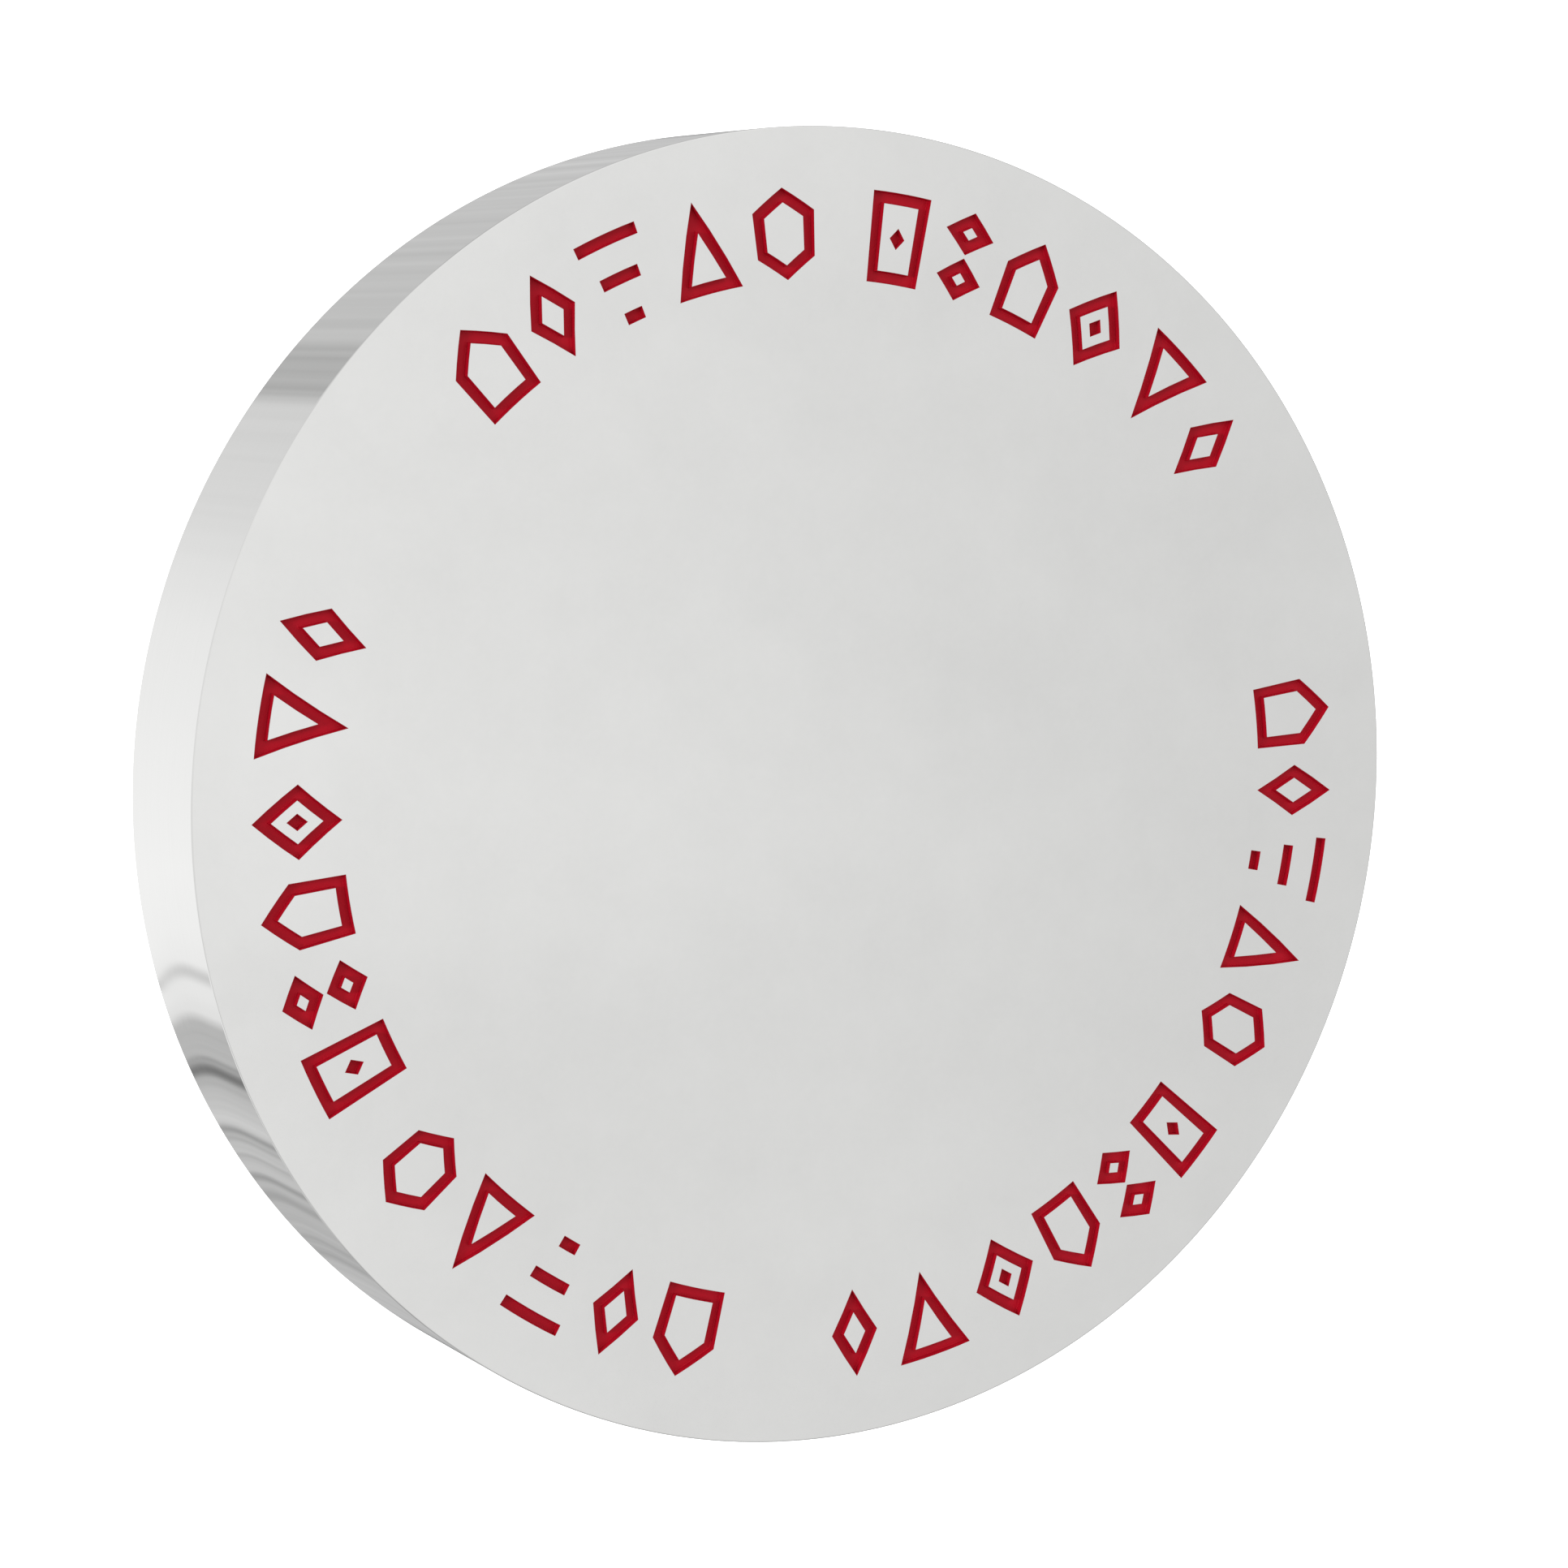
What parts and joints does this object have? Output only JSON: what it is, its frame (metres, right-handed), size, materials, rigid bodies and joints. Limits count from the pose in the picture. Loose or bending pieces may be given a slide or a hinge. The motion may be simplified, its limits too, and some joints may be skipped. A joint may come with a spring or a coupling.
{
  "type": "fare token",
  "caption": "Coin-size round metal token with a plain rim and a ring of engraved, red-painted geometric marks on its face.",
  "frame": {"origin": "centre of the plain reverse face, which the token lies on", "axes": "+Z is the token's axis, pointing out of the marked face; +Y runs through the centre of the top legend"},
  "size_m": [0.0226, 0.0224, 0.0031],
  "materials": {
    "polished_metal": "polished",
    "red_paint": "gloss"
  },
  "bodies": {
    "root": {"token_blank": "polished_metal", "paint_top_01_tall_lozenge": "red_paint", "paint_top_02_triangle": "red_paint", "paint_top_03_dotted_lozenge": "red_paint", "paint_top_04_pentagon": "red_paint", "paint_top_05_lozenge_pair": "red_paint", "paint_top_06_dotted_frame": "red_paint", "paint_top_07_hexagon": "red_paint", "paint_top_08_down_triangle": "red_paint", "paint_top_09_bar_steps": "red_paint", "paint_top_10_tall_lozenge": "red_paint", "paint_top_11_pentagon": "red_paint", "paint_left_01_tall_lozenge": "red_paint", "paint_left_02_triangle": "red_paint", "paint_left_03_dotted_lozenge": "red_paint", "paint_left_04_pentagon": "red_paint", "paint_left_05_lozenge_pair": "red_paint", "paint_left_06_dotted_frame": "red_paint", "paint_left_07_hexagon": "red_paint", "paint_left_08_down_triangle": "red_paint", "paint_left_09_bar_steps": "red_paint", "paint_left_10_tall_lozenge": "red_paint", "paint_left_11_pentagon": "red_paint", "paint_right_01_tall_lozenge": "red_paint", "paint_right_02_triangle": "red_paint", "paint_right_03_dotted_lozenge": "red_paint", "paint_right_04_pentagon": "red_paint", "paint_right_05_lozenge_pair": "red_paint", "paint_right_06_dotted_frame": "red_paint", "paint_right_07_hexagon": "red_paint", "paint_right_08_down_triangle": "red_paint", "paint_right_09_bar_steps": "red_paint", "paint_right_10_tall_lozenge": "red_paint", "paint_right_11_pentagon": "red_paint"}
  },
  "joints": []
}
